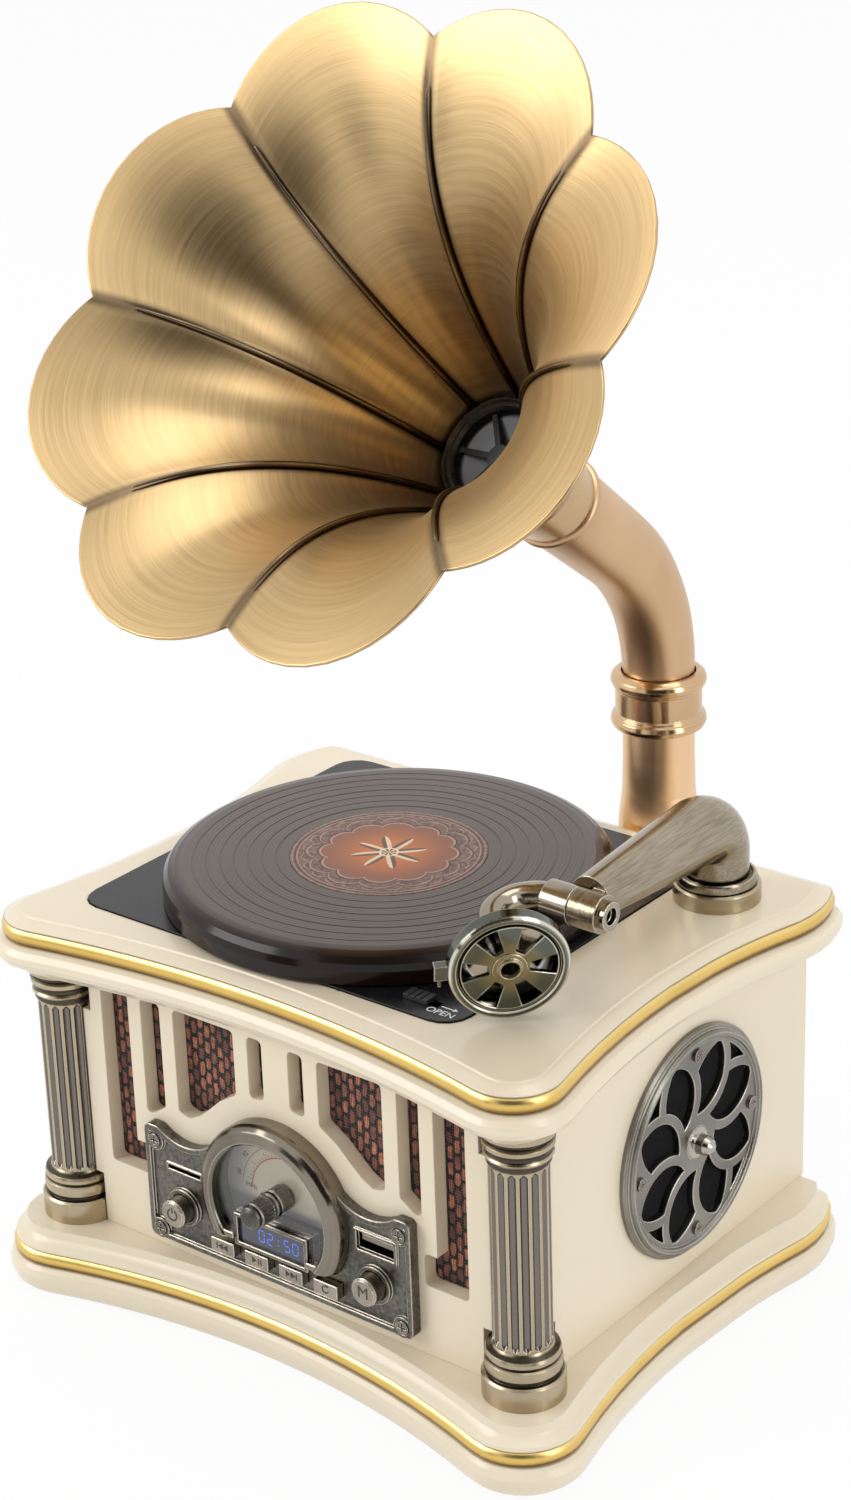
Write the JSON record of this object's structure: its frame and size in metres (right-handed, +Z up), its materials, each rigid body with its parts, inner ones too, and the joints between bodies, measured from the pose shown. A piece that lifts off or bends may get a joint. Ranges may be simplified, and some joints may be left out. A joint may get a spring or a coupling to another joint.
{
  "type": "gramophone-style speaker",
  "caption": "Gramophone-style speaker: square cabinet with fluted columns, petal horn on a curved neck, record-shaped disc lid, tonearm and radio-style control panel.",
  "frame": {"origin": "point on the standing plane midway between the four feet's plan, under the middle of the cabinet's plan", "axes": "+X to the object's right as seen from the front, +Y to its back, +Z up; the control panel faces -Y"},
  "size_m": [0.2145, 0.214, 0.3769],
  "materials": {
    "ivory_gloss": "gloss",
    "gilt": "polished",
    "rubber": "matt",
    "screw_steel": "satin",
    "black_gloss": "gloss",
    "antique_brass": "antiqued satin",
    "horn_brass": "brushed",
    "copper_pipe": "polished",
    "pewter": "antiqued satin",
    "gunmetal": "satin",
    "grille_cloth": "woven",
    "black_cloth": "woven",
    "chrome": "polished",
    "dial_card": "matt print",
    "clear_lens": "gloss",
    "display_glass": "gloss",
    "smoky_lid": "gloss, smoky",
    "label_paper": "satin print",
    "black_plastic": "satin",
    "circuit_board": "satin",
    "speaker_metal": "satin",
    "bare_metal": "satin"
  },
  "bodies": {
    "case": {"base_plate": "ivory_gloss", "cabinet": "ivory_gloss", "rear_cover": "ivory_gloss", "deck": "ivory_gloss", "base_trim": "gilt", "deck_trim": "gilt", "rubber_feet": "rubber", "case_screws": "screw_steel", "panel_screws": "screw_steel", "grille_screws": "screw_steel", "deck_panel": "black_gloss", "left_column": "antique_brass", "right_column": "antique_brass", "tonearm_base": "antique_brass", "horn_bell": "horn_brass", "horn_socket": "horn_brass", "neck_pipe": "copper_pipe", "pipe_collar": "copper_pipe", "lower_pipe": "copper_pipe", "control_panel": "pewter", "left_grille": "pewter", "right_grille": "pewter", "dial_bezel": "chrome", "speaker_cloth": "grille_cloth", "grille_cloths": "black_cloth", "dial_face": "dial_card", "dial_lens": "clear_lens", "display": "display_glass", "throat_ring": "black_plastic", "rear_jacks": "black_plastic", "control_board": "circuit_board", "main_board": "circuit_board", "left_speaker": "speaker_metal", "right_speaker": "speaker_metal", "horn_driver": "speaker_metal", "pipe_bracket": "speaker_metal", "usb_socket": "bare_metal", "card_reader": "bare_metal", "hinge_pin": "bare_metal", "disc_drive": "bare_metal"},
    "lid": {"record_lid": "smoky_lid", "record_label": "label_paper", "lid_strap": "black_plastic"},
    "open_slider": {"open_slider": "black_plastic"},
    "disc_spindle": {"disc_spindle": "black_plastic"},
    "optical_pickup": {"optical_pickup": "black_plastic"},
    "lead_screw": {"lead_screw": "bare_metal"},
    "tonearm": {"tonearm_tube": "antique_brass", "joint_pin": "antique_brass"},
    "reproducer": {"reproducer_arm": "antique_brass", "sound_box": "gunmetal", "sound_box_hub": "horn_brass", "needle_clamp": "antique_brass"},
    "tuning_knob": {"tuning_knob": "pewter"},
    "power_button": {"power_button": "pewter"},
    "mode_button": {"mode_button": "pewter"},
    "previous_key": {"previous_key": "pewter"},
    "play_key": {"play_key": "pewter"},
    "next_key": {"next_key": "pewter"},
    "repeat_key": {"repeat_key": "pewter"}
  },
  "joints": [
    {"name": "lid_hinge", "type": "hinge", "parent": "case", "child": "lid", "pos_m": [-0.05434, 0.04774, 0.1238], "axis": [-0.766, -0.6428, 0], "range_deg": [0, 45]},
    {"name": "open_slide", "type": "slide", "parent": "case", "child": "open_slider", "axis": [1, 0, 0], "range_m": [0, 0.004], "stiffness_N_per_m": 250},
    {"name": "disc_spin", "type": "hinge", "parent": "case", "child": "disc_spindle", "pos_m": [-0.0105, -0.0045, 0.114], "axis": [0, 0, 1], "continuous": true},
    {"name": "pickup_slide", "type": "slide", "parent": "case", "child": "optical_pickup", "axis": [1, 0, 0], "range_m": [0, 0.032]},
    {"name": "lead_screw_turn", "type": "hinge", "parent": "case", "child": "lead_screw", "pos_m": [0.0095, 0.0121, 0.108], "axis": [1, 0, 0], "range_deg": [0, 5760]},
    {"name": "tonearm_swivel", "type": "hinge", "parent": "case", "child": "tonearm", "pos_m": [0.0712, 0.042, 0.1465], "axis": [0, 0, 1], "range_deg": [0, 25]},
    {"name": "reproducer_lift", "type": "hinge", "parent": "tonearm", "child": "reproducer", "pos_m": [0.0712, -0.0257, 0.1465], "axis": [-1, 0, 0], "range_deg": [0, 80]},
    {"name": "tuning_turn", "type": "hinge", "parent": "case", "child": "tuning_knob", "pos_m": [0, -0.07, 0.0542], "axis": [0, -1, 0], "continuous": true},
    {"name": "power_push", "type": "slide", "parent": "case", "child": "power_button", "axis": [0, 1, 0], "range_m": [0, 0.001], "stiffness_N_per_m": 700},
    {"name": "mode_push", "type": "slide", "parent": "case", "child": "mode_button", "axis": [0, 1, 0], "range_m": [0, 0.001], "stiffness_N_per_m": 700},
    {"name": "previous_push", "type": "slide", "parent": "case", "child": "previous_key", "axis": [0, 1, 0], "range_m": [0, 0.0008], "stiffness_N_per_m": 700},
    {"name": "play_push", "type": "slide", "parent": "case", "child": "play_key", "axis": [0, 1, 0], "range_m": [0, 0.0008], "stiffness_N_per_m": 700},
    {"name": "next_push", "type": "slide", "parent": "case", "child": "next_key", "axis": [0, 1, 0], "range_m": [0, 0.0008], "stiffness_N_per_m": 700},
    {"name": "repeat_push", "type": "slide", "parent": "case", "child": "repeat_key", "axis": [0, 1, 0], "range_m": [0, 0.0008], "stiffness_N_per_m": 700}
  ],
  "couplings": [
    {"joint": "lead_screw_turn", "follows": "pickup_slide", "rad_per_m": 3141.5}
  ]
}
